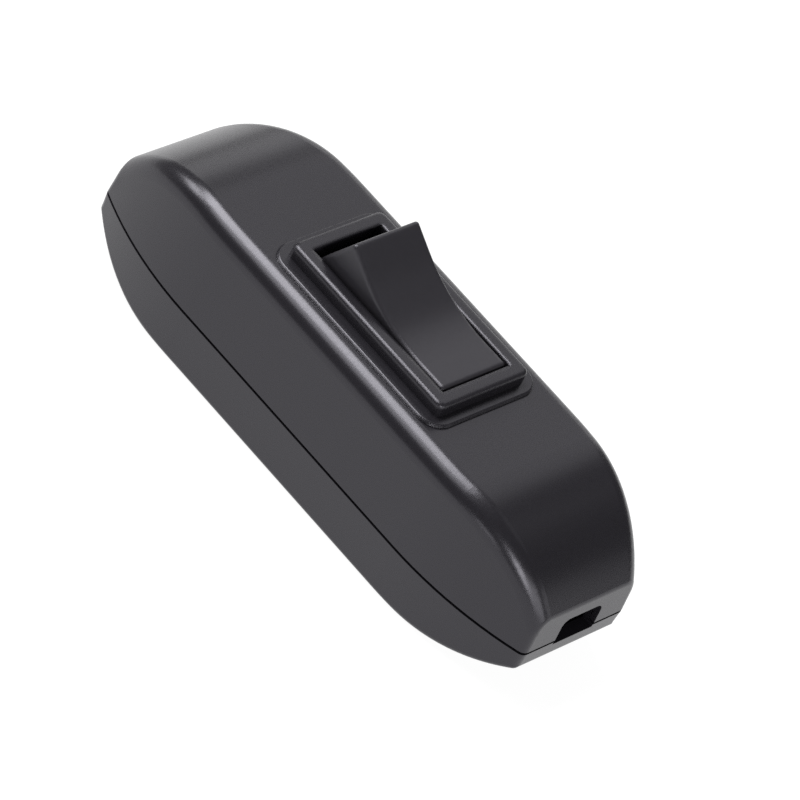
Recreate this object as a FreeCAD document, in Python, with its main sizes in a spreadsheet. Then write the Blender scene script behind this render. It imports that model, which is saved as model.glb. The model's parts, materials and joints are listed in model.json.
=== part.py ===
"""Inline cord switch: a two-part housing with a rocker, its contacts, terminals and cord clamps.

The frame has its origin on the resting face, below the middle of the housing.
X runs along the housing from one cord entry to the other, Y across it and Z up to the rocker.
The rocker is modelled level and then tilted to the position that it rests in, with its +X end pressed.
"""
import FreeCAD, Part
import math
import os

import Sketcher
from FreeCAD import Placement, Rotation, Vector

# Driving sizes in millimetres and degrees
SIZES = {
    # Housing
    "length": 84.0,
    "width": 27.4,
    "top_height": 22.8,
    "parting_height": 8.3,
    "parting_gap": 0.4,
    "wall": 1.8,
    "side_curve_length": 20.9,
    "side_narrowing": 4.35,
    "top_curve_length": 16.9,
    "end_top_height": 13.5,
    "underside_curve_length": 17.4,
    "end_bottom_height": 5.4,
    "draft": 3.2,
    "long_edge_radius": 2.9,
    "end_edge_radius": 1.2,
    "bottom_edge_radius": 0.8,
    "tongue_thickness": 0.8,
    "tongue_height": 1.5,
    "tongue_clearance": 0.1,
    # Frame round the rocker
    "frame_base_end_margin": 3.6,
    "frame_base_side_margin": 3.95,
    "frame_base_height": 0.5,
    "frame_base_corner": 3.2,
    "frame_base_radius": 0.3,
    "frame_margin": 2.05,
    "frame_height": 2.4,
    "frame_corner": 1.1,
    "frame_edge_radius": 0.5,
    # Rocker
    "rocker_gap": 0.3,
    "rocker_width": 11.7,
    "rocker_tilt": 15.0,
    "pivot_depth": 5.3,
    "tip_reach": 10.7,
    "tip_height": 8.4,
    "facet_angle": 15.5,
    "valley_width": 13.4,
    "skirt_drop": 3.5,
    "rocker_wall": 1.4,
    "roof_thickness": 1.5,
    "rocker_edge_radius": 0.45,
    "trunnion_radius": 1.5,
    "trunnion_length": 1.8,
    "bearing_clearance": 0.05,
    "ear_thickness": 2.0,
    "ear_length": 6.4,
    "ear_drop": 4.4,
    "stem_wall": 1.0,
    "stem_drop": 5.0,
    "bore_height": 1.0,
    # Plunger and its spring
    "plunger_radius": 1.9,
    "plunger_top_drop": 2.5,
    "plunger_clearance": 0.05,
    "plunger_gap": 0.08,
    "plunger_wall": 0.7,
    "spring_wire": 0.4,
    "spring_turns": 4.0,
    "spring_clearance": 0.1,
    # Contacts
    "hinge_drop": 9.3,
    "blade_angle": 10.0,
    "blade_thickness": 0.8,
    "blade_width": 4.4,
    "blade_reach": 9.0,
    "wing_width": 7.4,
    "wing_reach": 0.7,
    "contact_reach": 7.6,
    "contact_radius": 1.3,
    "contact_height": 0.7,
    "contact_gap": 0.05,
    "rivet_radius": 0.6,
    "rivet_clearance": 0.05,
    "closed_end_radius": 0.95,
    "closed_end_height": 0.35,
    "strip_thickness": 0.8,
    "bracket_gap": 0.4,
    "bracket_length": 5.0,
    "notch_clearance": 0.25,
    "notch_depth": 1.2,
    "hinge_clearance": 0.03,
    # Terminals
    "bed_height": 4.4,
    "terminal_reach": 15.6,
    "terminal_side": 6.9,
    "strip_width": 4.0,
    "strip_overhang": 2.6,
    "riser_heel": 3.0,
    "bed_margin": 0.4,
    "washer_width": 4.8,
    "washer_thickness": 0.8,
    "washer_clearance": 0.1,
    "terminal_screw_radius": 1.45,
    "terminal_screw_tail": 1.7,
    "terminal_hole_depth": 2.4,
    "terminal_head_radius": 2.4,
    "terminal_head_height": 1.7,
    "screw_clearance": 0.05,
    "slot_width": 0.6,
    "slot_depth": 0.8,
    "cross_reach": 1.6,
    # Case screws
    "case_screw_reach": 20.0,
    "case_screw_radius": 1.45,
    "case_screw_length": 12.5,
    "case_head_radius": 2.7,
    "case_head_height": 1.9,
    "case_head_depth": 1.3,
    "case_head_clearance": 0.25,
    "post_wall": 1.0,
    "post_rise": 0.7,
    "boss_radius": 3.0,
    # Cord entry and clamp
    "entry_width": 7.3,
    "entry_height": 3.7,
    "entry_sill": 0.6,
    "entry_shoulder": 1.2,
    "clamp_setback": 9.0,
    "clamp_length": 5.0,
    "clamp_wall_clearance": 1.15,
    "clamp_hole_margin": 2.2,
    "clamp_thickness": 2.0,
    "clamp_corner": 1.0,
    "clamp_post_radius": 2.3,
    "clamp_post_root": 0.7,
    "clamp_screw_radius": 1.25,
    "clamp_screw_length": 7.0,
    "clamp_head_radius": 2.2,
    "clamp_head_height": 1.5,
    "saddle_length": 3.0,
}

# Sizes that follow from the driving ones, as expressions in the sheet's names
TOP = "sizes.top_height"
PARTING = "sizes.parting_height"
SHELL_LOW = f"({PARTING} + sizes.parting_gap / 2)"
COVER_HIGH = f"({PARTING} - sizes.parting_gap / 2)"
HALF_LENGTH = "(sizes.length / 2)"
HALF_WIDTH = "(sizes.width / 2)"
SIDE_STRAIGHT = f"({HALF_LENGTH} - sizes.side_curve_length)"
TOP_FLAT = f"({HALF_LENGTH} - sizes.top_curve_length)"
UNDERSIDE_FLAT = f"({HALF_LENGTH} - sizes.underside_curve_length)"
CEILING = f"({TOP} - sizes.wall)"
PIVOT = f"({TOP} + sizes.frame_height - sizes.pivot_depth)"
DRUM = "(sizes.tip_reach * cos(sizes.rocker_tilt) + sizes.tip_height * sin(sizes.rocker_tilt))"
ROCKER_HALF = "(sizes.rocker_width / 2)"
HINGE = f"({PIVOT} - sizes.hinge_drop)"
OPENING_X = f"({DRUM} + sizes.rocker_gap)"
OPENING_Y = f"({ROCKER_HALF} + sizes.rocker_gap)"
VALLEY_EDGE = ("(sizes.tip_height - (sizes.tip_reach - sizes.valley_width / 2)"
               " * tan(sizes.facet_angle))")
VALLEY_LOW = f"({VALLEY_EDGE} - sizes.valley_width / 2 * tan(sizes.facet_angle / 2))"
NOSE_DROP = ("(sizes.hinge_drop - sizes.plunger_gap"
             " - (sizes.plunger_radius + sizes.blade_thickness) / cos(sizes.blade_angle))")
PLUNGER_HIGH = f"({NOSE_DROP} - sizes.plunger_top_drop)"
PAD_TOP = f"({HINGE} - sizes.contact_gap - 2 * sizes.contact_height)"
PAD_START = "(sizes.contact_reach - sizes.contact_radius - sizes.strip_thickness)"
RISER = "(sizes.contact_reach + sizes.contact_radius + 2 * sizes.strip_thickness)"
BRACKET_INNER = "(sizes.blade_width / 2 + sizes.bracket_gap)"
BRACKET_OUTER = f"({BRACKET_INNER} + sizes.strip_thickness)"
STRIP_INNER = "(sizes.terminal_side - sizes.strip_width / 2)"
SILL = f"({PARTING} - sizes.entry_sill)"
CLAMP_LOW = f"({PARTING} + sizes.entry_height)"
CLAMP_REACH = f"({HALF_LENGTH} - sizes.clamp_setback)"
CASE_SCREW_TIP = "(sizes.case_head_depth + sizes.case_head_height + sizes.case_screw_length)"
POST_TOP = f"({PARTING} + sizes.post_rise)"

# Places closer than this count as the same
CLOSE = 1e-4

doc = FreeCAD.newDocument("inline_cord_switch")
sheet = doc.addObject("Spreadsheet::Sheet", "sizes")
for row, (alias, number) in enumerate(SIZES.items(), start=1):
    sheet.set(f"A{row}", str(number))
    sheet.setAlias(f"A{row}", alias)
doc.recompute()


def value(expression):
    """The number that an expression in the sheet's names stands for."""
    return float(sheet.evalExpression(str(expression)))


def new_body(name):
    """An empty body whose label names the sub-part."""
    body = doc.addObject("PartDesign::Body", name)
    body.Label = name
    return body


def new_sketch(body, name, plane, offset, lean="0"):
    """A sketch on one of the body's origin planes, moved along its normal and turned about its own Y."""
    sketch = body.newObject("Sketcher::SketchObject", name)
    support = next(item for item in body.Origin.OriginFeatures if item.Role == plane)
    sketch.AttachmentSupport = (support, [""])
    sketch.MapMode = "FlatFace"
    turn = Rotation(Vector(0, 1, 0), value(lean))
    sketch.AttachmentOffset = Placement(Vector(0, 0, value(offset)), turn)
    sketch.setExpression("AttachmentOffset.Base.z", str(offset))
    if lean != "0":
        sketch.setExpression("AttachmentOffset.Rotation.Angle", lean)
    return sketch


def constrain(sketch, kind, geometry, point, expression):
    """Ties one coordinate of a point, measured from the sketch's origin, to an expression."""
    origin = (-1, 1)
    index = sketch.addConstraint(Sketcher.Constraint(kind, *origin, geometry, point, value(expression)))
    sketch.setExpression(f"Constraints[{index}]", str(expression))


def tangent_arc(start, direction, end):
    """The arc that leaves start along direction and reaches end, and whether it turns left."""
    chord = end - start
    turns_left = direction.x * chord.y - direction.y * chord.x > 0
    normal = Vector(-direction.y, direction.x, 0) * (1 if turns_left else -1)
    normal.normalize()
    radius = chord.Length ** 2 / (2 * chord.dot(normal))
    centre = start + normal * radius
    first = math.atan2(start.y - centre.y, start.x - centre.x)
    last = math.atan2(end.y - centre.y, end.x - centre.x)
    circle = Part.Circle(centre, Vector(0, 0, 1), radius)
    angles = (first, last) if turns_left else (last, first)
    return Part.ArcOfCircle(circle, *angles), turns_left


def polygon(*corners, arcs=None):
    """An outline through corners; arcs maps an edge to the side, -1 or 1, where it is tangent."""
    arcs = arcs or {}

    def draw(sketch):
        points = [Vector(value(x), value(y), 0) for x, y in corners]
        count = len(points)
        first = sketch.GeometryCount
        ends = []
        for edge, start in enumerate(points):
            end = points[(edge + 1) % count]
            if edge not in arcs:
                sketch.addGeometry(Part.LineSegment(start, end))
                ends.append((1, 2))
            elif arcs[edge] == -1:
                arc, turns_left = tangent_arc(start, start - points[edge - 1], end)
                sketch.addGeometry(arc)
                ends.append((1, 2) if turns_left else (2, 1))
            else:
                arc, turns_left = tangent_arc(end, end - points[(edge + 2) % count], start)
                sketch.addGeometry(arc)
                ends.append((2, 1) if turns_left else (1, 2))
        for edge in range(count):
            before = (edge - 1) % count
            tangent = arcs.get(edge) == -1 or arcs.get(before) == 1
            kind = "Tangent" if tangent else "Coincident"
            sketch.addConstraint(Sketcher.Constraint(
                kind, first + before, ends[before][1], first + edge, ends[edge][0]))
        for edge, (x, y) in enumerate(corners):
            constrain(sketch, "DistanceX", first + edge, ends[edge][0], x)
            constrain(sketch, "DistanceY", first + edge, ends[edge][0], y)

    return draw


def rectangle(x0, x1, y0, y1):
    """A rectangle between two places in each direction."""
    return polygon((x0, y0), (x1, y0), (x1, y1), (x0, y1))


def rounded_rectangle(half_x, half_y, radius):
    """A rectangle round the origin with its corners rounded."""
    flat_x = f"({half_x} - {radius})"
    flat_y = f"({half_y} - {radius})"
    return polygon(
        (f"-{flat_x}", f"-{half_y}"), (flat_x, f"-{half_y}"), (half_x, f"-{flat_y}"), (half_x, flat_y),
        (flat_x, half_y), (f"-{flat_x}", half_y), (f"-{half_x}", flat_y), (f"-{half_x}", f"-{flat_y}"),
        arcs={1: -1, 3: -1, 5: -1, 7: -1})


def hexagon(x, y, radius):
    """A regular hexagon round x, y."""
    return polygon(*((f"({x} + {radius} * cos({angle}))", f"({y} + {radius} * sin({angle}))")
                     for angle in range(0, 360, 60)))


def circle(x, y, radius):
    """A circle with its centre at x, y."""

    def draw(sketch):
        centre = Vector(value(x), value(y), 0)
        index = sketch.addGeometry(Part.Circle(centre, Vector(0, 0, 1), value(radius)))
        constrain(sketch, "DistanceX", index, 3, x)
        constrain(sketch, "DistanceY", index, 3, y)
        tie = sketch.addConstraint(Sketcher.Constraint("Radius", index, value(radius)))
        sketch.setExpression(f"Constraints[{tie}]", str(radius))

    return draw


def extrude(body, name, outlines, low, high, plane="XY_Plane", cut=False, lean="0"):
    """Adds or cuts outlines between two places along the plane's normal."""
    sketch = new_sketch(body, name + "_sketch", plane, low, lean)
    for outline in outlines if isinstance(outlines, list) else [outlines]:
        outline(sketch)
    feature = body.newObject("PartDesign::Pocket" if cut else "PartDesign::Pad", name)
    feature.Profile = sketch
    feature.Reversed = cut
    feature.setExpression("Length", f"{high} - {low}")
    before = body.Shape.Volume if cut else 0
    settle(feature)
    if cut and not body.Shape.Volume < before:
        raise RuntimeError(f"{name} cuts nothing")
    return feature


def settle(feature):
    """Works the feature out and stops if it failed."""
    doc.recompute()
    failed = "Invalid" in feature.State or "Error" in feature.State
    if failed or feature.Shape.isNull() or not feature.Shape.isValid():
        raise RuntimeError(f"{feature.Name} failed: {feature.State}")


def edges_where(feature, test):
    """The names of a feature's edges that pass a test."""
    return [f"Edge{number}" for number, edge in enumerate(feature.Shape.Edges, start=1) if test(edge)]


def round_edges(body, name, radius, test):
    """Rounds the edges of the body's last feature that pass a test."""
    feature = body.newObject("PartDesign::Fillet", name)
    base = feature.BaseFeature
    feature.Base = (base, edges_where(base, test))
    feature.setExpression("Radius", radius)
    settle(feature)


def is_at(shape, axis, expression):
    """Whether a flat face or an edge lies in the plane at a place along an axis."""
    box = shape.BoundBox
    low = getattr(box, axis + "Min")
    high = getattr(box, axis + "Max")
    place = value(expression)
    return abs(low - place) < CLOSE and abs(high - place) < CLOSE


def bend_radius(span, drop):
    """The radius of an arc that falls by drop over span, from where it runs level."""
    return f"(({span} ^ 2 + {drop} ^ 2) / (2 * {drop}))"


def fall_at(x, flat, span, drop):
    """How far a surface that bends over span has fallen at a place beyond its flat part."""
    radius = bend_radius(span, drop)
    return f"({radius} - sqrt({radius} ^ 2 - ({x} - {flat}) ^ 2))"


def plan_outline(inset):
    """The housing's outline in plan: straight sides that curve in to flat ends."""
    radius = bend_radius("sizes.side_curve_length", "sizes.side_narrowing")
    side = f"({HALF_WIDTH} - {inset})"
    end = f"({HALF_LENGTH} - {inset})"
    end_side = (f"({HALF_WIDTH} - {radius}"
                f" + sqrt(({radius} - {inset}) ^ 2 - ({end} - {SIDE_STRAIGHT}) ^ 2))")
    return polygon(
        (f"-{SIDE_STRAIGHT}", f"-{side}"), (SIDE_STRAIGHT, f"-{side}"),
        (end, f"-{end_side}"), (end, end_side),
        (SIDE_STRAIGHT, side), (f"-{SIDE_STRAIGHT}", side),
        (f"-{end}", end_side), (f"-{end}", f"-{end_side}"), arcs={1: -1, 3: 1, 5: -1, 7: 1})


def end_relief(body, name, inset, flat, level, end_level, side):
    """Curves the top (side 1) or bottom (side -1) of a block away from its flat middle to both ends."""
    radius = bend_radius(f"({HALF_LENGTH} - {flat})", f"abs({level} - {end_level})")
    end_x = f"({HALF_LENGTH} - {inset})"
    start_z = f"({level} - {side} * {inset})"
    end_z = f"({level} - {side} * ({radius} - sqrt(({radius} - {inset}) ^ 2 - ({end_x} - {flat}) ^ 2)))"
    outside = f"({level} + {side} * sizes.wall)"
    for end, sign in (("far", "-"), ("near", "")):
        outline = polygon(
            (f"{sign}{flat}", start_z), (f"{sign}{end_x}", end_z), (f"{sign}{end_x}", outside),
            (f"{sign}{flat} / 2", outside), (f"{sign}{flat} / 2", start_z), arcs={0: -1})
        extrude(body, f"{name}_{end}", outline, f"-{HALF_WIDTH}", HALF_WIDTH, "XZ_Plane", cut=True)


def draft_sides(body, name, level, below=False):
    """Leans the upright faces of a block inwards, away from the parting plane."""
    feature = body.newObject("PartDesign::Draft", name)
    base = feature.BaseFeature
    faces = list(enumerate(base.Shape.Faces, start=1))
    sides = [f"Face{number}" for number, face in faces if abs(face.normalAt(0, 0).z) < CLOSE]
    parting = [f"Face{number}" for number, face in faces if is_at(face, "Z", level)]
    feature.Base = (base, sides)
    feature.NeutralPlane = (base, parting)
    feature.setExpression("Angle", "sizes.draft")
    feature.Reversed = below
    settle(feature)


def upper_solid(body, name, inset):
    """The upper half as a solid block, or its cavity where there is an inset."""
    extrude(body, name, plan_outline(inset), SHELL_LOW, f"({TOP} - {inset})")
    draft_sides(body, name + "_draft", SHELL_LOW)
    end_relief(body, name + "_dome", inset, TOP_FLAT, TOP, "sizes.end_top_height", 1)


def cover_solid(body, name, inset):
    """The lower half as a solid block, or its cavity where there is an inset."""
    extrude(body, name, plan_outline(inset), inset, COVER_HIGH)
    draft_sides(body, name + "_draft", COVER_HIGH, below=True)
    end_relief(body, name + "_rise", inset, UNDERSIDE_FLAT, "0", "sizes.end_bottom_height", -1)


def carve(body, name, core):
    """Cuts a core body out of a body."""
    before = body.Shape.Volume
    feature = body.newObject("PartDesign::Boolean", name)
    feature.setObjects([core])
    feature.Type = "Cut"
    settle(feature)
    if not body.Shape.Volume < before:
        raise RuntimeError(f"{name} cuts nothing")


def is_long_edge(edge):
    """Whether an edge of a housing block runs along the border of its top or bottom."""
    box = edge.BoundBox
    reach = min(abs(box.ZMax - value(TOP)), abs(box.ZMin))
    return box.XLength > value("sizes.wall") and reach < CLOSE


def is_end_edge(edge):
    """Whether an edge of a housing block is an upright corner or the border of an end face."""
    box = edge.BoundBox
    at_end = min(abs(box.XMin), abs(box.XMax)) > value(f"({HALF_LENGTH} - sizes.wall)")
    at_parting = is_at(edge, "Z", SHELL_LOW) or is_at(edge, "Z", COVER_HIGH)
    return at_end and not at_parting


def entry_outline(low):
    """The cord entry, open below, with a flat top and rounded shoulders."""
    half = "(sizes.entry_width / 2)"
    high = f"({PARTING} + sizes.entry_height)"
    shoulder = "sizes.entry_shoulder"
    return polygon(
        (f"-{half}", low), (half, low), (half, f"{high} - {shoulder}"), (f"{half} - {shoulder}", high),
        (f"{shoulder} - {half}", high), (f"-{half}", f"{high} - {shoulder}"), arcs={2: -1, 4: -1})


def at_both_ends(body, name, outline, inner, outer, cut=False):
    """Adds or cuts an outline across both ends of the housing."""
    extrude(body, f"{name}_near", outline, inner, outer, "YZ_Plane", cut=cut)
    extrude(body, f"{name}_far", outline, f"-{outer}", f"-{inner}", "YZ_Plane", cut=cut)


def upper_shell():
    """The upper half: a drafted, domed shell with the frame, the bearings and the screw bosses."""
    body = new_body("upper_shell")
    upper_solid(body, "upper_block", "0")
    round_edges(body, "upper_long_edges", "sizes.long_edge_radius", is_long_edge)
    round_edges(body, "upper_end_edges", "sizes.end_edge_radius", is_end_edge)
    core = new_body("upper_core")
    upper_solid(core, "upper_cavity", "sizes.wall")
    carve(body, "upper_hollow", core)
    raised_frame(body)
    rabbet_depth = "(sizes.wall - sizes.tongue_thickness - sizes.tongue_clearance)"
    rabbet_top = f"({COVER_HIGH} + sizes.tongue_height + sizes.tongue_clearance)"
    extrude(body, "rabbet", plan_outline(rabbet_depth), SHELL_LOW, rabbet_top, cut=True)
    rocker_bearings(body)
    boss_places = [circle(f"{side}sizes.case_screw_reach", 0, "sizes.boss_radius") for side in ("-", "")]
    extrude(body, "screw_bosses", boss_places, POST_TOP, f"({CEILING} + sizes.wall / 2)")
    pilot_radius = "(sizes.case_screw_radius + sizes.screw_clearance)"
    pilots = [circle(f"{side}sizes.case_screw_reach", 0, pilot_radius) for side in ("-", "")]
    extrude(body, "screw_pilots", pilots, POST_TOP, f"({CASE_SCREW_TIP} + sizes.screw_clearance)",
            cut=True)
    at_both_ends(body, "upper_entry", entry_outline(f"({SHELL_LOW} - sizes.parting_gap)"),
                 f"({HALF_LENGTH} - 2 * sizes.wall)", f"({HALF_LENGTH} + sizes.wall)", cut=True)
    return body


def raised_frame(body):
    """The two-step frame on the top, with the rocker's opening through it."""
    embedded = f"({TOP} - sizes.wall / 2)"
    base_high = f"({TOP} + sizes.frame_base_height)"
    frame_high = f"({TOP} + sizes.frame_height)"
    extrude(body, "frame_base",
            rounded_rectangle(f"({OPENING_X} + sizes.frame_base_end_margin)",
                              f"({OPENING_Y} + sizes.frame_base_side_margin)", "sizes.frame_base_corner"),
            embedded, base_high)
    round_edges(body, "frame_base_edges", "sizes.frame_base_radius", lambda edge: is_at(edge, "Z", base_high))
    extrude(body, "frame_ridge",
            rounded_rectangle(f"({OPENING_X} + sizes.frame_margin)",
                              f"({OPENING_Y} + sizes.frame_margin)", "sizes.frame_corner"),
            embedded, frame_high)
    round_edges(body, "frame_edges", "sizes.frame_edge_radius", lambda edge: is_at(edge, "Z", frame_high))
    extrude(body, "opening", rectangle(f"-{OPENING_X}", OPENING_X, f"-{OPENING_Y}", OPENING_Y),
            f"({CEILING} - sizes.wall)", f"({frame_high} + sizes.wall)", cut=True)


def rocker_bearings(body):
    """Two ears below the top with snap-in bearings for the rocker's trunnions."""
    half = "(sizes.ear_length / 2)"
    outer = f"({OPENING_Y} + sizes.ear_thickness)"
    ears = [rectangle(f"-{half}", half, OPENING_Y, outer),
            rectangle(f"-{half}", half, f"-{outer}", f"-{OPENING_Y}")]
    low = f"({PIVOT} - sizes.ear_drop)"
    extrude(body, "ears", ears, low, f"({CEILING} + sizes.wall / 2)")
    reach = f"({ROCKER_HALF} + sizes.trunnion_length + sizes.rocker_gap)"
    bore = "(sizes.trunnion_radius + sizes.bearing_clearance)"
    extrude(body, "bearings", circle(0, PIVOT, bore), f"-{reach}", reach, "XZ_Plane", cut=True)
    neck = "(sizes.trunnion_radius - sizes.bearing_clearance)"
    extrude(body, "snap_slots", rectangle(f"-{neck}", neck, f"({low} - sizes.wall)", PIVOT),
            f"-{reach}", reach, "XZ_Plane", cut=True)


def lower_cover():
    """The lower half: a drafted shell with a tongue, terminal beds, screw posts and cord saddles."""
    body = new_body("lower_cover")
    cover_solid(body, "cover_block", "0")
    round_edges(body, "cover_long_edges", "sizes.bottom_edge_radius", is_long_edge)
    round_edges(body, "cover_end_edges", "sizes.end_edge_radius", is_end_edge)
    core = new_body("cover_core")
    cover_solid(core, "cover_cavity", "sizes.wall")
    carve(body, "cover_hollow", core)
    tongue = [plan_outline("(sizes.wall - sizes.tongue_thickness)"), plan_outline("sizes.wall")]
    extrude(body, "tongue", tongue, COVER_HIGH, f"({COVER_HIGH} + sizes.tongue_height)")
    terminal_beds(body)
    screw_posts(body)
    cord_saddles(body)
    sill = rectangle("-sizes.entry_width / 2", "sizes.entry_width / 2", SILL,
                     f"({COVER_HIGH} + sizes.tongue_height + sizes.wall)")
    at_both_ends(body, "cover_entry", sill, f"({HALF_LENGTH} - 2 * sizes.wall)",
                 f"({HALF_LENGTH} + sizes.wall)", cut=True)
    return body


def terminal_beds(body):
    """The raised beds that the brass strips lie on, the contact's pillar and the barrier rib."""
    inside = "(sizes.wall / 2)"
    margin = "sizes.bed_margin"
    beds = [pivot_strip_outline(margin), fixed_strip_outline(margin), link_outline(margin)]
    extrude(body, "beds", beds, inside, "sizes.bed_height")
    pillar_half = "(sizes.blade_width / 2 - sizes.bed_margin)"
    pillar_end = f"({PAD_START} + sizes.strip_thickness * 2)"
    pillar = rectangle(PAD_START, pillar_end, f"-{pillar_half}", pillar_half)
    extrude(body, "contact_pillar", pillar, inside, f"({PAD_TOP} - sizes.strip_thickness)")
    rib_inner = "(sizes.wing_width / 2 + sizes.bed_margin)"
    rib = rectangle("-sizes.blade_reach", "sizes.blade_reach", rib_inner, f"({STRIP_INNER})")
    extrude(body, "barrier_rib", rib, inside, POST_TOP)
    tail = "(sizes.terminal_screw_radius + sizes.bed_margin)"
    holes = [circle(f"{x}sizes.terminal_reach", f"{y}sizes.terminal_side", tail)
             for x in ("-", "") for y in ("-", "")]
    low = "(sizes.bed_height - sizes.terminal_hole_depth)"
    extrude(body, "screw_tails", holes, low, "sizes.bed_height", cut=True)


def screw_posts(body):
    """The two posts that the case screws pass through, with their heads sunk in from below."""
    recess = "(sizes.case_head_radius + sizes.case_head_clearance)"
    places = [f"{side}sizes.case_screw_reach" for side in ("-", "")]
    extrude(body, "case_posts", [circle(x, 0, f"({recess} + sizes.post_wall)") for x in places],
            "(sizes.wall / 2)", POST_TOP)
    extrude(body, "head_recesses", [circle(x, 0, recess) for x in places],
            "0", "(sizes.case_head_depth + sizes.case_head_height)", cut=True)
    bore = "(sizes.case_screw_radius + sizes.screw_clearance)"
    extrude(body, "case_bores", [circle(x, 0, bore) for x in places], "0", POST_TOP, cut=True)


def cord_saddles(body):
    """A saddle under the cord at each end, between the two posts of its clamp."""
    rise = fall_at(CLAMP_REACH, UNDERSIDE_FLAT, "sizes.underside_curve_length", "sizes.end_bottom_height")
    foot = f"({rise} + sizes.wall - sizes.clamp_post_root)"
    across = clamp_side()
    post_places = [(f"{x}{CLAMP_REACH}", f"{y}{across}") for x in ("-", "") for y in ("-", "")]
    extrude(body, "clamp_posts", [circle(x, y, "sizes.clamp_post_radius") for x, y in post_places],
            foot, CLAMP_LOW)
    half = "(sizes.saddle_length / 2)"
    near = rectangle(f"({CLAMP_REACH} - {half})", f"({CLAMP_REACH} + {half})", f"-{across}", across)
    far = rectangle(f"(-{CLAMP_REACH} - {half})", f"(-{CLAMP_REACH} + {half})", f"-{across}", across)
    extrude(body, "saddles", [near, far], foot, SILL)
    bore = "(sizes.clamp_screw_radius + sizes.screw_clearance)"
    low = f"({CLAMP_LOW} + sizes.clamp_thickness - sizes.clamp_screw_length - sizes.bed_margin)"
    extrude(body, "clamp_pilots", [circle(x, y, bore) for x, y in post_places], low, CLAMP_LOW, cut=True)


def clamp_half():
    """Half of the clamp bar's width, which stays clear of the wall where the housing narrows."""
    outer_end = f"({CLAMP_REACH} + sizes.clamp_length / 2)"
    narrowing = fall_at(outer_end, SIDE_STRAIGHT, "sizes.side_curve_length", "sizes.side_narrowing")
    return f"({HALF_WIDTH} - {narrowing} - sizes.wall - sizes.clamp_wall_clearance)"


def clamp_side():
    """The distance of a clamp's screws from the middle."""
    return f"({clamp_half()} - sizes.clamp_hole_margin)"


def pivot_strip_outline(margin):
    """The pivot terminal in plan: the bracket's foot and the strip to its screw."""
    foot = f"(sizes.bracket_length / 2 + {margin})"
    foot_y = f"({BRACKET_OUTER} + {margin})"
    inner = f"(-sizes.terminal_side + sizes.strip_width / 2 + {margin})"
    outer = f"(-sizes.terminal_side - sizes.strip_width / 2 - {margin})"
    tail = f"(-sizes.terminal_reach - sizes.strip_overhang - {margin})"
    return polygon((foot, foot_y), (f"-{foot}", foot_y), (f"-{foot}", inner), (tail, inner),
                   (tail, outer), (foot, outer))


def fixed_strip_outline(margin):
    """The fixed terminal in plan: the foot of its riser and the strip to its screw."""
    foot = f"({RISER} - sizes.strip_thickness - {margin})"
    heel = f"({RISER} + sizes.riser_heel + {margin})"
    foot_y = f"(sizes.blade_width / 2 + {margin})"
    inner = f"(-sizes.terminal_side + sizes.strip_width / 2 + {margin})"
    outer = f"(-sizes.terminal_side - sizes.strip_width / 2 - {margin})"
    tail = f"(sizes.terminal_reach + sizes.strip_overhang + {margin})"
    return polygon((foot, foot_y), (foot, outer), (tail, outer), (tail, inner), (heel, inner), (heel, foot_y))


def link_outline(margin):
    """The neutral link in plan."""
    tail = f"(sizes.terminal_reach + sizes.strip_overhang + {margin})"
    inner = f"(sizes.terminal_side - sizes.strip_width / 2 - {margin})"
    outer = f"(sizes.terminal_side + sizes.strip_width / 2 + {margin})"
    return rectangle(f"-{tail}", tail, inner, outer)


def rocker_outline(wall, roof):
    """The rocker's side view, offset inwards by the wall and, below the two facets, by the roof."""
    tilt = "sizes.rocker_tilt"
    angle = "sizes.facet_angle"
    drum = f"({DRUM} - {wall})"
    valley_x = f"(sizes.valley_width / 2 + {roof} * sin({angle}))"
    valley_z = f"({VALLEY_EDGE} - {roof} * cos({angle}))"
    facet_zero = f"(sizes.tip_height - sizes.tip_reach * tan({angle}) - {roof} / cos({angle}))"
    tip_x = f"(({drum} - {facet_zero} * sin({tilt})) / (cos({tilt}) + tan({angle}) * sin({tilt})))"
    tip_z = f"({facet_zero} + {tip_x} * tan({angle}))"
    cheek_x = f"({drum} * cos({tilt}))"
    cheek_z = f"({drum} * sin({tilt}))"
    skirt_x = f"sqrt({drum} ^ 2 - sizes.skirt_drop ^ 2)"
    return polygon(
        (tip_x, tip_z), (valley_x, valley_z), (f"-{valley_x}", valley_z), (f"-{tip_x}", tip_z),
        (f"-{cheek_x}", cheek_z), (f"-{skirt_x}", "-sizes.skirt_drop"), (skirt_x, "-sizes.skirt_drop"),
        (cheek_x, cheek_z), arcs={1: -1, 4: -1, 6: 1})


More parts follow.
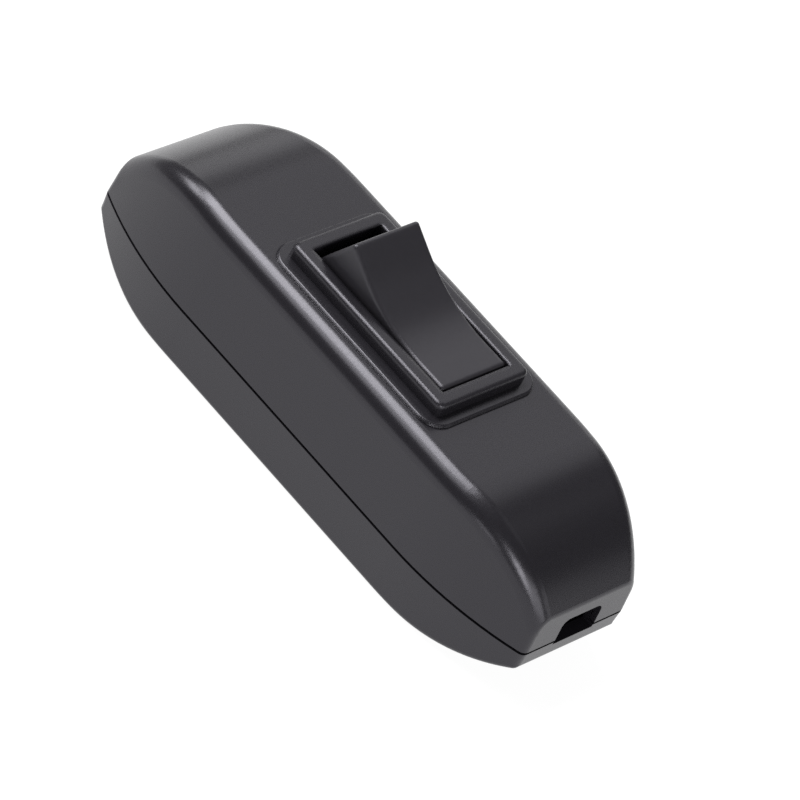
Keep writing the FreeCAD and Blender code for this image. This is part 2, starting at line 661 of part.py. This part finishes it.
def rocker():
    """The rocker: two facets with a rounded valley, drum-shaped ends, trunnions and a hollow stem."""
    body = new_body("rocker")
    extrude(body, "rocker_block", rocker_outline("0", "0"), f"-{ROCKER_HALF}", ROCKER_HALF, "XZ_Plane")
    cheek = value(f"{DRUM} * sin(sizes.rocker_tilt)")

    def is_rounded(edge):
        box = edge.BoundBox
        on_side = is_at(edge, "Y", ROCKER_HALF) or is_at(edge, "Y", f"-{ROCKER_HALF}")
        is_tip = is_at(edge, "Z", "sizes.tip_height") and not on_side
        return on_side and box.ZMin > cheek - CLOSE or is_tip

    round_edges(body, "rocker_edges", "sizes.rocker_edge_radius", is_rounded)
    inner = f"({ROCKER_HALF} - sizes.rocker_wall)"
    extrude(body, "rocker_hollow", rocker_outline("sizes.rocker_wall", "sizes.roof_thickness"),
            f"-{inner}", inner, "XZ_Plane", cut=True)
    stem = "(sizes.plunger_radius + sizes.plunger_clearance + sizes.stem_wall)"
    stem_high = f"({VALLEY_LOW} - sizes.roof_thickness / 2)"
    extrude(body, "stem", circle(0, 0, stem), "-sizes.stem_drop", stem_high)
    bore = "(sizes.plunger_radius + sizes.plunger_clearance)"
    extrude(body, "stem_bore", circle(0, 0, bore), "-sizes.stem_drop", "sizes.bore_height", cut=True)
    root = f"({ROCKER_HALF} - sizes.rocker_wall / 2)"
    tip = f"({ROCKER_HALF} + sizes.trunnion_length)"
    pin = circle(0, 0, "sizes.trunnion_radius")
    extrude(body, "trunnion_left", pin, root, tip, "XZ_Plane")
    extrude(body, "trunnion_right", pin, f"-{tip}", f"-{root}", "XZ_Plane")
    place(body, "0", "0", PIVOT, "sizes.rocker_tilt")
    return body


def place(body, x, y, z, tilt="0"):
    """Puts a body at its place, turned about Y."""
    body.Placement = Placement(Vector(value(x), value(y), value(z)), Rotation(Vector(0, 1, 0), value(tilt)))
    for axis, expression in (("x", x), ("y", y), ("z", z)):
        if expression != "0":
            body.setExpression(f"Placement.Base.{axis}", str(expression))
    if tilt != "0":
        body.setExpression("Placement.Rotation.Angle", str(tilt))


def revolve(body, name, outline):
    """Turns an outline drawn in the XZ plane about Z."""
    sketch = new_sketch(body, name + "_sketch", "XZ_Plane", "0")
    outline(sketch)
    feature = body.newObject("PartDesign::Revolution", name)
    feature.Profile = sketch
    feature.ReferenceAxis = (sketch, ["V_Axis"])
    feature.Angle = 360
    doc.recompute()
    return feature


def plunger():
    """The cup-shaped plunger, with its nose's centre at the origin."""
    body = new_body("plunger")
    radius = "sizes.plunger_radius"
    inner = "(sizes.plunger_radius - sizes.plunger_wall)"
    outline = polygon(
        ("0", f"-{radius}"), (radius, "0"), (radius, PLUNGER_HIGH), (inner, PLUNGER_HIGH),
        (inner, "sizes.plunger_wall"),
        ("0", "sizes.plunger_wall"), arcs={0: 1})
    revolve(body, "plunger_turned", outline)
    place(body, f"-{NOSE_DROP} * sin(sizes.rocker_tilt)", "0",
          f"{PIVOT} - {NOSE_DROP} * cos(sizes.rocker_tilt)", "sizes.rocker_tilt")
    return body


def plunger_spring():
    """The coil spring between the plunger's cup and the end of the stem's bore, of six-sided wire."""
    body = new_body("plunger_spring")
    coil = "(sizes.plunger_radius - sizes.plunger_wall - sizes.spring_clearance - sizes.spring_wire / 2)"
    wire = "(sizes.spring_wire / 2)"
    low = f"(sizes.plunger_wall + {wire} + sizes.hinge_clearance)"
    high = f"({NOSE_DROP} + sizes.bore_height - {wire} - sizes.hinge_clearance)"
    sketch = new_sketch(body, "wire_section", "XZ_Plane", "0")
    hexagon(coil, low, wire)(sketch)
    helix = body.newObject("PartDesign::AdditiveHelix", "coil")
    helix.Profile = sketch
    helix.ReferenceAxis = (sketch, ["V_Axis"])
    helix.Mode = "height-turns-angle"
    helix.setExpression("Height", f"{high} - {low}")
    helix.setExpression("Turns", "sizes.spring_turns")
    doc.recompute()
    place(body, f"-{NOSE_DROP} * sin(sizes.rocker_tilt)", "0",
          f"{PIVOT} - {NOSE_DROP} * cos(sizes.rocker_tilt)", "sizes.rocker_tilt")
    return body


def chevron(reach):
    """The blade's side view: two arms that rise from the hinge line."""
    run = f"({reach} * cos(sizes.blade_angle))"
    rise = f"({reach} * sin(sizes.blade_angle))"
    over = "(sizes.blade_thickness * sin(sizes.blade_angle))"
    up = "(sizes.blade_thickness * cos(sizes.blade_angle))"
    crest = "(sizes.blade_thickness / cos(sizes.blade_angle))"
    return polygon(
        ("0", "0"), (run, rise), (f"({run} - {over})", f"({rise} + {up})"), ("0", crest),
        (f"({over} - {run})", f"({rise} + {up})"), (f"-{run}", rise))


def seesaw_contact():
    """The bent blade that rocks in the bracket's notches, with its hinge line at the origin."""
    body = new_body("seesaw_contact")
    blade_half = "(sizes.blade_width / 2)"
    wing_half = "(sizes.wing_width / 2)"
    extrude(body, "blade", chevron("sizes.blade_reach"), f"-{blade_half}", blade_half, "XZ_Plane")
    extrude(body, "wings", chevron("sizes.wing_reach"), f"-{wing_half}", wing_half, "XZ_Plane")
    bore = "(sizes.rivet_radius + sizes.rivet_clearance)"
    extrude(body, "rivet_bore", circle("sizes.contact_reach", "0", bore), "0", "sizes.blade_thickness",
            cut=True, lean="-sizes.blade_angle")
    place(body, "0", "0", HINGE, "-sizes.blade_angle")
    return body


def moving_contact_tip():
    """The contact rivet under the blade's arm: its head below and its closed end above."""
    body = new_body("moving_contact_tip")
    closed = "(sizes.blade_thickness + sizes.closed_end_height)"
    extrude(body, "contact_head", circle("0", "0", "sizes.contact_radius"), "-sizes.contact_height", "0")
    extrude(body, "contact_shank", circle("0", "0", "sizes.rivet_radius"), "0", closed)
    extrude(body, "closed_end", circle("0", "0", "sizes.closed_end_radius"), "sizes.blade_thickness", closed)
    place(body, "sizes.contact_reach * cos(2 * sizes.blade_angle)", "0",
          f"{HINGE} + sizes.contact_reach * sin(2 * sizes.blade_angle)", "-2 * sizes.blade_angle")
    return body


def fixed_contact_tip():
    """The contact rivet on the fixed terminal's pad."""
    body = new_body("fixed_contact_tip")
    extrude(body, "fixed_head", circle("0", "0", "sizes.contact_radius"), "0", "sizes.contact_height")
    extrude(body, "fixed_shank", circle("0", "0", "sizes.rivet_radius"), "-sizes.strip_thickness", "0")
    place(body, "sizes.contact_reach", "0", PAD_TOP)
    return body


def screw_holes(body, places, low, high):
    """Tapped holes for the terminal screws."""
    bore = "(sizes.terminal_screw_radius + sizes.screw_clearance)"
    extrude(body, "tapped_holes", [circle(x, y, bore) for x, y in places], low, high, cut=True)


def pivot_terminal():
    """The incoming terminal: a strip with two notched uprights that carry the blade."""
    body = new_body("pivot_terminal")
    low = "sizes.bed_height"
    high = f"({low} + sizes.strip_thickness)"
    extrude(body, "pivot_strip", pivot_strip_outline("0"), low, high)
    half = "(sizes.bracket_length / 2)"
    uprights = [rectangle(f"-{half}", half, BRACKET_INNER, BRACKET_OUTER),
                rectangle(f"-{half}", half, f"-{BRACKET_OUTER}", f"-{BRACKET_INNER}")]
    extrude(body, "uprights", uprights, low, f"({HINGE} + sizes.notch_depth)")
    notch = "(sizes.wing_reach + sizes.notch_clearance)"
    seat = f"({HINGE} - sizes.hinge_clearance)"
    extrude(body, "notches", rectangle(f"-{notch}", notch, seat, f"({HINGE} + sizes.wing_width)"),
            f"-{BRACKET_OUTER}", BRACKET_OUTER, "XZ_Plane", cut=True)
    screw_holes(body, [("-sizes.terminal_reach", "-sizes.terminal_side")], low, high)
    return body


def fixed_terminal():
    """The outgoing terminal: a strip bent up into the pad of the fixed contact."""
    body = new_body("fixed_terminal")
    low = "sizes.bed_height"
    high = f"({low} + sizes.strip_thickness)"
    half = "(sizes.blade_width / 2)"
    extrude(body, "fixed_strip", fixed_strip_outline("0"), low, high)
    step = polygon(
        (f"({RISER} - sizes.strip_thickness)", low), (RISER, low), (RISER, PAD_TOP), (PAD_START, PAD_TOP),
        (PAD_START, f"({PAD_TOP} - sizes.strip_thickness)"),
        (f"({RISER} - sizes.strip_thickness)", f"({PAD_TOP} - sizes.strip_thickness)"))
    extrude(body, "riser", step, f"-{half}", half, "XZ_Plane")
    screw_holes(body, [("sizes.terminal_reach", "-sizes.terminal_side")], low, high)
    rivet = circle("sizes.contact_reach", "0", "(sizes.rivet_radius + sizes.rivet_clearance)")
    extrude(body, "fixed_rivet_bore", rivet, f"({PAD_TOP} - sizes.strip_thickness)", PAD_TOP, cut=True)
    return body


def neutral_link():
    """The straight strip that joins the two neutral terminals."""
    body = new_body("neutral_link")
    low = "sizes.bed_height"
    high = f"({low} + sizes.strip_thickness)"
    extrude(body, "link_strip", link_outline("0"), low, high)
    screw_holes(body, [(f"{x}sizes.terminal_reach", "sizes.terminal_side") for x in ("-", "")], low, high)
    return body


def wire_washer(name, x, y):
    """The square washer that presses a core onto its strip."""
    body = new_body(name)
    half = "(sizes.washer_width / 2)"
    plate = rectangle(f"-{half}", half, f"-{half}", half)
    hole = circle("0", "0", "(sizes.terminal_screw_radius + sizes.washer_clearance)")
    extrude(body, name + "_plate", plate, "0", "sizes.washer_thickness")
    extrude(body, name + "_hole", hole, "0", "sizes.washer_thickness", cut=True)
    place(body, x, y, "sizes.bed_height + sizes.strip_thickness")
    return body


def slotted_screw(name, head_radius, head_height, shank_radius, shank_length, x, y, z):
    """A slotted screw whose head stands on the origin's plane, with its shank below."""
    body = new_body(name)
    extrude(body, name + "_head", circle("0", "0", head_radius), "0", head_height)
    extrude(body, name + "_shank", circle("0", "0", shank_radius), f"-{shank_length}", "0")
    half = "(sizes.slot_width / 2)"
    slot = rectangle(f"-{half}", half, f"-{head_radius}", head_radius)
    extrude(body, name + "_slot", slot, f"({head_height} - sizes.slot_depth)", head_height, cut=True)
    place(body, x, y, z)
    return body


def terminal_screw(name, x, y):
    """The screw of one terminal."""
    seat = "(sizes.bed_height + sizes.strip_thickness + sizes.washer_thickness)"
    shank = "(sizes.washer_thickness + sizes.strip_thickness + sizes.terminal_screw_tail)"
    return slotted_screw(name, "sizes.terminal_head_radius", "sizes.terminal_head_height",
                         "sizes.terminal_screw_radius", shank, x, y, seat)


def cord_clamp(name, x):
    """The bar that presses the cord onto its saddle."""
    body = new_body(name)
    half_x = "(sizes.clamp_length / 2)"
    flat_x = f"({half_x} - sizes.clamp_corner)"
    half_y = clamp_half()
    flat_y = f"({half_y} - sizes.clamp_corner)"
    bar = polygon((f"-{flat_x}", f"-{half_y}"), (flat_x, f"-{half_y}"), (half_x, f"-{flat_y}"),
                  (half_x, flat_y), (flat_x, half_y), (f"-{flat_x}", half_y),
                  (f"-{half_x}", flat_y), (f"-{half_x}", f"-{flat_y}"))
    extrude(body, name + "_bar", bar, "0", "sizes.clamp_thickness")
    bore = "(sizes.clamp_screw_radius + sizes.screw_clearance)"
    holes = [circle("0", f"{y}{clamp_side()}", bore) for y in ("-", "")]
    extrude(body, name + "_holes", holes, "0", "sizes.clamp_thickness", cut=True)
    place(body, x, "0", CLAMP_LOW)
    return body


def clamp_screw(name, x, y):
    """A screw of a clamp bar."""
    return slotted_screw(name, "sizes.clamp_head_radius", "sizes.clamp_head_height",
                         "sizes.clamp_screw_radius", "sizes.clamp_screw_length", x, y,
                         f"({CLAMP_LOW} + sizes.clamp_thickness)")


def case_screw(name, x):
    """A screw that joins the two halves, with its cross-slotted head in the cover's recess."""
    body = new_body(name)
    low = "sizes.case_head_depth"
    seat = "(sizes.case_head_depth + sizes.case_head_height)"
    extrude(body, name + "_head", circle("0", "0", "sizes.case_head_radius"), low, seat)
    extrude(body, name + "_shank", circle("0", "0", "sizes.case_screw_radius"), seat, CASE_SCREW_TIP)
    half = "(sizes.slot_width / 2)"
    reach = "sizes.cross_reach"
    cross = polygon(
        (reach, f"-{half}"), (reach, half), (half, half), (half, reach), (f"-{half}", reach),
        (f"-{half}", half), (f"-{reach}", half), (f"-{reach}", f"-{half}"), (f"-{half}", f"-{half}"),
        (f"-{half}", f"-{reach}"), (half, f"-{reach}"), (half, f"-{half}"))
    extrude(body, name + "_cross", cross, low, f"({low} + sizes.slot_depth)", cut=True)
    place(body, x, "0", "0")
    return body


def build():
    """Every sub-part in its place."""
    bodies = [upper_shell(), lower_cover(), rocker(), plunger(), plunger_spring(), seesaw_contact(),
              moving_contact_tip(), fixed_contact_tip(), pivot_terminal(), fixed_terminal(), neutral_link()]
    corners = [(x, y) for x in ("-", "") for y in ("-", "")]
    for number, (x, y) in enumerate(corners, start=1):
        terminal = (f"{x}sizes.terminal_reach", f"{y}sizes.terminal_side")
        bodies.append(wire_washer(f"wire_washer_{number}", *terminal))
        bodies.append(terminal_screw(f"terminal_screw_{number}", *terminal))
        bodies.append(clamp_screw(f"clamp_screw_{number}", f"{x}{CLAMP_REACH}", f"{y}{clamp_side()}"))
    for number, side in enumerate(("-", ""), start=1):
        bodies.append(cord_clamp(f"cord_clamp_{number}", f"{side}{CLAMP_REACH}"))
        bodies.append(case_screw(f"case_screw_{number}", f"{side}sizes.case_screw_reach"))
    return bodies


def check(bodies):
    """Stops on a failed feature or a faulty solid."""
    doc.recompute()
    for item in doc.Objects:
        if "Invalid" in item.State or "Error" in item.State:
            raise RuntimeError(f"{item.Name} failed: {item.State}")
    for body in bodies:
        if body.Shape.isNull() or not body.Shape.isValid() or len(body.Shape.Solids) != 1:
            raise RuntimeError(f"{body.Label} is not one valid solid")


def export(bodies):
    """Writes each sub-part to its own file."""
    os.makedirs("parts", exist_ok=True)
    for body in bodies:
        body.Shape.exportStep(f"parts/{body.Label}.step")


sub_parts = build()
check(sub_parts)
export(sub_parts)
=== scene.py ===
import json
from math import cos, pi, radians, sin

import bpy
from mathutils import Matrix, Vector

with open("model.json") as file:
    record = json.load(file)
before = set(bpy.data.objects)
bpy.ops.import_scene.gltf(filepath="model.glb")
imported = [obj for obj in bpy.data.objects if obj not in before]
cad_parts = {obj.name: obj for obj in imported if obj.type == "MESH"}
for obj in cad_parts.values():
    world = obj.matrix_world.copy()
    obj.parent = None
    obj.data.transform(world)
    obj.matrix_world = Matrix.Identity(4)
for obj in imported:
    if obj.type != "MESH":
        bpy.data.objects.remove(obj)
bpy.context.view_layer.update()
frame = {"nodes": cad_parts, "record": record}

MM = 0.001

# Camera, as fitted to the photograph
VIEW_AZIMUTH = 27.53
VIEW_ELEVATION = 40.51
VIEW_ROLL = 29.18
VIEW_DISTANCE = 744.7 * MM
TARGET = Vector((0, 0, 12.6 * MM))
TARGET_PIXEL = (374.5, 374.7)
FOCAL_PIXELS = 5909.35
FRAME_PIXELS = 800
SENSOR = 36.0
CLIP_RANGE = (0.01, 10)

# Plastics: colour, mean roughness, strength of the moulded grain, and whether the rocker's frame is on it
PLASTIC_SLOTS = {
    "housing_black": {"colour": (0.0112, 0.0104, 0.0128), "rough": 0.27, "grain": 0.05, "framed": True},
    "rocker_black": {"colour": (0.0170, 0.0160, 0.0190), "rough": 0.30, "grain": 0.04, "framed": False},
}
PLASTIC_SHEEN = (0.93, 0.91, 1.0, 1)
MOTTLE_SHARE = 0.1
ROUGHNESS_SPREAD = 0.02
WAVE_STRENGTH, WAVE_DEPTH = 0.03, 0.3 * MM
GRAIN_DEPTH = 0.02 * MM

# Light on small edges: its reach, and the heights of the frame's rim and of its step's edge
EDGE_SOFTNESS = 0.8 * MM
EDGE_SAMPLES = 8
FRAME_RIM = (23.7 * MM, 24.1 * MM)
FRAME_STEP_FOOT = (22.82 * MM, 22.84 * MM)
FRAME_STEP_TOP = (23.24 * MM, 23.28 * MM)

# Metals: colour and roughness, and how far shade and fine scratches change them
METAL_SLOTS = {
    "contact_brass": {"colour": (0.80, 0.58, 0.24), "rough": 0.28},
    "contact_silver": {"colour": (0.88, 0.88, 0.86), "rough": 0.22},
    "plated_steel": {"colour": (0.62, 0.64, 0.66), "rough": 0.30},
    "spring_steel": {"colour": (0.42, 0.42, 0.44), "rough": 0.34},
}
METAL_SHADE = 0.8
SCRATCH_ROUGHNESS = (-0.06, 0.12)
SCRATCH_STRENGTH = 0.15

# Nylon of the plunger: its range of colour and roughness, and how it lets light in
NYLON_SLOT = "plunger_nylon"
NYLON_COLOURS = ((0.72, 0.70, 0.64), (0.84, 0.83, 0.78))
NYLON_ROUGHNESS = (0.38, 0.5)
NYLON_GRAIN_STRENGTH = 0.1
NYLON_TRANSLUCENCE = 0.3
NYLON_LIGHT_DEPTH = 1.0 * MM

# Noise patterns: features per metre and levels of detail
PATTERNS = {
    "mottle": (1400, 4), "gloss": (2600, 3), "waves": (90, 1), "grain": (7000, 2),
    "metal_tone": (500, 4), "scratches": (2400, 6), "metal_grain": (4000, 3),
    "nylon_tone": (400, 3), "nylon_gloss": (1500, 4), "nylon_grain": (3000, 2),
    "floor_tone": (30, 3),
}
NOISE_ROUGHNESS = 0.5
NOISE_SPAN = (0.3, 0.7)

# Lights: where each softbox stands, its size in metres and its radiance, and the even light around them
SOFTBOXES = {
    "key": {"azimuth": 180, "elevation": 62, "width": 0.62, "height": 0.46, "radiance": 12.5},
    "low": {"azimuth": 192, "elevation": 37, "width": 0.46, "height": 0.26, "radiance": 9.0},
    "side": {"azimuth": 228, "elevation": 54, "width": 0.36, "height": 0.32, "radiance": 4.0},
    "rim": {"azimuth": 345, "elevation": 16, "width": 0.72, "height": 0.42, "radiance": 2.9},
    "back": {"azimuth": 122, "elevation": 14, "width": 0.70, "height": 0.34, "radiance": 1.2},
    "sky": {"azimuth": 116, "elevation": 42, "width": 0.46, "height": 0.50, "radiance": 0.82},
    "corner": {"azimuth": 320, "elevation": 22, "width": 0.28, "height": 0.36, "radiance": 8.5},
    "front": {"azimuth": 280, "elevation": 6, "width": 0.26, "height": 0.16, "radiance": 3.5},
    "end": {"azimuth": 30, "elevation": 14, "width": 0.40, "height": 0.34, "radiance": 1.2},
    "fill": {"azimuth": 60, "elevation": 55, "width": 0.40, "height": 0.40, "radiance": 0.3},
}
SURROUND = 0.115
WHITE = (1, 1, 1, 1)

# Floor: half its side, its height a hair under the resting face, its own light and its greys
FLOOR_HALF = 1.2
FLOOR_HEIGHT = -0.05 * MM
FLOOR_GLOW = 0.95
FLOOR_GREYS = ((0.10, 0.10, 0.10), (0.12, 0.12, 0.12))
FLOOR_ROUGHNESS = 0.9
FLOOR_GLOSS = 0.1


def new_material(name):
    """An empty node material and its Principled shader."""
    material = bpy.data.materials.new(name)
    material.use_nodes = True
    return material, material.node_tree.nodes["Principled BSDF"]


def add_node(material, kind, **settings):
    """A shader node with its inputs set by name."""
    node = material.node_tree.nodes.new(kind)
    for name, setting in settings.items():
        node.inputs[name.replace("_", " ")].default_value = setting
    return node


def object_place(material):
    """The object's own coordinates."""
    return add_node(material, "ShaderNodeTexCoord").outputs["Object"]


def noise(material, pattern):
    """One of the noise patterns, over the object's own coordinates."""
    scale, detail = PATTERNS[pattern]
    node = add_node(material, "ShaderNodeTexNoise", Scale=scale, Detail=detail, Roughness=NOISE_ROUGHNESS)
    material.node_tree.links.new(object_place(material), node.inputs["Vector"])
    return node.outputs["Fac"]


def ramp(material, source, low, high, span=NOISE_SPAN):
    """Maps a span of a value to the range from low to high, and holds it at both ends."""
    start, end = span
    node = add_node(material, "ShaderNodeMapRange", From_Min=start, From_Max=end, To_Min=low, To_Max=high)
    material.node_tree.links.new(source, node.inputs["Value"])
    return node.outputs["Result"]


def tint(material, source, dark, light):
    """Mixes two colours by a value."""
    node = material.node_tree.nodes.new("ShaderNodeMix")
    node.data_type = "RGBA"
    node.inputs["A"].default_value = (*dark, 1)
    node.inputs["B"].default_value = (*light, 1)
    material.node_tree.links.new(source, node.inputs["Factor"])
    return node.outputs["Result"]


def bump(material, shader, height, strength, distance, before=None):
    """Adds a height to the shader's normal, over any bump before it."""
    node = add_node(material, "ShaderNodeBump", Strength=strength, Distance=distance)
    material.node_tree.links.new(height, node.inputs["Height"])
    if before:
        material.node_tree.links.new(before, node.inputs["Normal"])
    material.node_tree.links.new(node.outputs["Normal"], shader.inputs["Normal"])
    return node.outputs["Normal"]


def combine(material, operation, first, second):
    """The product or the sum of two values."""
    node = material.node_tree.nodes.new("ShaderNodeMath")
    node.operation = operation
    material.node_tree.links.new(first, node.inputs[0])
    material.node_tree.links.new(second, node.inputs[1])
    return node.outputs["Value"]


def frame_softness(material):
    """How far edges are softened: on the frame's rim and on its step's edge, not in the corner between."""
    axes = material.node_tree.nodes.new("ShaderNodeSeparateXYZ")
    material.node_tree.links.new(object_place(material), axes.inputs["Vector"])
    height = axes.outputs["Z"]
    rim = ramp(material, height, 0, EDGE_SOFTNESS, FRAME_RIM)
    above_foot = ramp(material, height, 0, EDGE_SOFTNESS, FRAME_STEP_FOOT)
    below_top = ramp(material, height, 1, 0, FRAME_STEP_TOP)
    return combine(material, "ADD", rim, combine(material, "MULTIPLY", above_foot, below_top))


def moulded_plastic(name, colour, rough, grain, framed):
    """Satin moulded plastic: a fine spark-eroded grain, a faint mottle and slow waves in the surface."""
    material, shader = new_material(name)
    links = material.node_tree.links
    dark = tuple(channel * (1 - MOTTLE_SHARE) for channel in colour)
    light = tuple(channel * (1 + MOTTLE_SHARE) for channel in colour)
    links.new(tint(material, noise(material, "mottle"), dark, light), shader.inputs["Base Color"])
    gloss = ramp(material, noise(material, "gloss"), rough - ROUGHNESS_SPREAD, rough + ROUGHNESS_SPREAD)
    links.new(gloss, shader.inputs["Roughness"])
    edges = add_node(material, "ShaderNodeBevel", Radius=EDGE_SOFTNESS)
    edges.samples = EDGE_SAMPLES
    if framed:
        links.new(frame_softness(material), edges.inputs["Radius"])
    soft = edges.outputs["Normal"]
    waves = bump(material, shader, noise(material, "waves"), WAVE_STRENGTH, WAVE_DEPTH, before=soft)
    bump(material, shader, noise(material, "grain"), grain, GRAIN_DEPTH, before=waves)
    shader.inputs["Specular Tint"].default_value = PLASTIC_SHEEN
    return material


def plain_metal(name, colour, rough):
    """Drawn or stamped metal with fine scratches and a slight change of tone."""
    material, shader = new_material(name)
    links = material.node_tree.links
    dark = tuple(channel * METAL_SHADE for channel in colour)
    links.new(tint(material, noise(material, "metal_tone"), dark, colour), shader.inputs["Base Color"])
    smooth, scratched = (rough + change for change in SCRATCH_ROUGHNESS)
    links.new(ramp(material, noise(material, "scratches"), smooth, scratched), shader.inputs["Roughness"])
    shader.inputs["Metallic"].default_value = 1.0
    bump(material, shader, noise(material, "metal_grain"), SCRATCH_STRENGTH, GRAIN_DEPTH)
    return material


def natural_nylon(name):
    """Milky moulded plastic that lets a little light in."""
    material, shader = new_material(name)
    links = material.node_tree.links
    links.new(tint(material, noise(material, "nylon_tone"), *NYLON_COLOURS), shader.inputs["Base Color"])
    links.new(ramp(material, noise(material, "nylon_gloss"), *NYLON_ROUGHNESS), shader.inputs["Roughness"])
    shader.inputs["Subsurface Weight"].default_value = NYLON_TRANSLUCENCE
    shader.inputs["Subsurface Scale"].default_value = NYLON_LIGHT_DEPTH
    bump(material, shader, noise(material, "nylon_grain"), NYLON_GRAIN_STRENGTH, GRAIN_DEPTH)
    return material


def make_materials():
    """One material for each of the record's slots."""
    made = {name: moulded_plastic(name, **look) for name, look in PLASTIC_SLOTS.items()}
    made.update({name: plain_metal(name, **look) for name, look in METAL_SLOTS.items()})
    made[NYLON_SLOT] = natural_nylon(NYLON_SLOT)
    return made


def dress_nodes():
    """Gives every CAD node the finish of its slot."""
    materials = make_materials()
    slot_of = {entry["node"]: entry["material_slot"] for entry in frame["record"]["subparts"]}
    for node, piece in frame["nodes"].items():
        piece.data.materials.clear()
        piece.data.materials.append(materials[slot_of[node]])


def floor():
    """A white table, lit a little from below so that the object throws hardly any shadow."""
    mesh = bpy.data.meshes.new("floor")
    turns = ((-1, -1), (1, -1), (1, 1), (-1, 1))
    corners = [(x * FLOOR_HALF, y * FLOOR_HALF, FLOOR_HEIGHT) for x, y in turns]
    mesh.from_pydata(corners, [], [(0, 1, 2, 3)])
    piece = bpy.data.objects.new("floor", mesh)
    bpy.context.scene.collection.objects.link(piece)
    material, shader = new_material("floor_pale")
    tone = tint(material, noise(material, "floor_tone"), *FLOOR_GREYS)
    material.node_tree.links.new(tone, shader.inputs["Base Color"])
    shader.inputs["Roughness"].default_value = FLOOR_ROUGHNESS
    shader.inputs["Specular IOR Level"].default_value = FLOOR_GLOSS
    shader.inputs["Emission Color"].default_value = WHITE
    shader.inputs["Emission Strength"].default_value = FLOOR_GLOW
    mesh.materials.append(material)


def look_from(azimuth, elevation, roll):
    """The camera's right, up and back directions."""
    az, el, turn = (radians(angle) for angle in (azimuth, elevation, roll))
    back = Vector((sin(az) * cos(el), -cos(az) * cos(el), sin(el)))
    level_right = Vector((cos(az), sin(az), 0))
    level_up = back.cross(level_right)
    right = level_right * cos(turn) + level_up * sin(turn)
    up = level_up * cos(turn) - level_right * sin(turn)
    return right, up, back


def camera():
    """The camera at the photograph's angle and framing."""
    right, up, back = look_from(VIEW_AZIMUTH, VIEW_ELEVATION, VIEW_ROLL)
    data = bpy.data.cameras.new("camera")
    data.sensor_width = SENSOR
    data.lens = FOCAL_PIXELS / FRAME_PIXELS * SENSOR
    middle = FRAME_PIXELS / 2
    per_pixel = VIEW_DISTANCE / FOCAL_PIXELS
    aim = (TARGET + right * (middle - TARGET_PIXEL[0]) * per_pixel
           - up * (middle - TARGET_PIXEL[1]) * per_pixel)
    piece = bpy.data.objects.new("camera", data)
    bpy.context.scene.collection.objects.link(piece)
    turn = Matrix((right, up, back)).transposed().to_4x4()
    piece.matrix_world = Matrix.Translation(aim + back * VIEW_DISTANCE) @ turn
    data.clip_start, data.clip_end = CLIP_RANGE
    bpy.context.scene.camera = piece


def softbox(name, azimuth, elevation, width, height, radiance):
    """A rectangular light that faces the object from a metre away, wide across and high upwards."""
    data = bpy.data.lights.new(name, "AREA")
    data.shape = "RECTANGLE"
    data.size = width
    data.size_y = height
    data.energy = pi * width * height * radiance
    piece = bpy.data.objects.new(name, data)
    bpy.context.scene.collection.objects.link(piece)
    az, el = radians(azimuth), radians(elevation)
    across = Vector((-sin(az), cos(az), 0))
    towards = Vector((cos(az) * cos(el), sin(az) * cos(el), sin(el)))
    turn = Matrix((across, towards.cross(across), towards)).transposed().to_4x4()
    piece.matrix_world = Matrix.Translation(TARGET + towards) @ turn


def lights():
    """The softboxes and an even dim surround."""
    for name, box in SOFTBOXES.items():
        softbox(name, **box)
    world = bpy.data.worlds.new("studio")
    world.use_nodes = True
    ground = world.node_tree.nodes["Background"]
    ground.inputs["Color"].default_value = WHITE
    ground.inputs["Strength"].default_value = SURROUND
    bpy.context.scene.world = world


bpy.context.scene.view_settings.view_transform = "Standard"
camera()
dress_nodes()
floor()
lights()
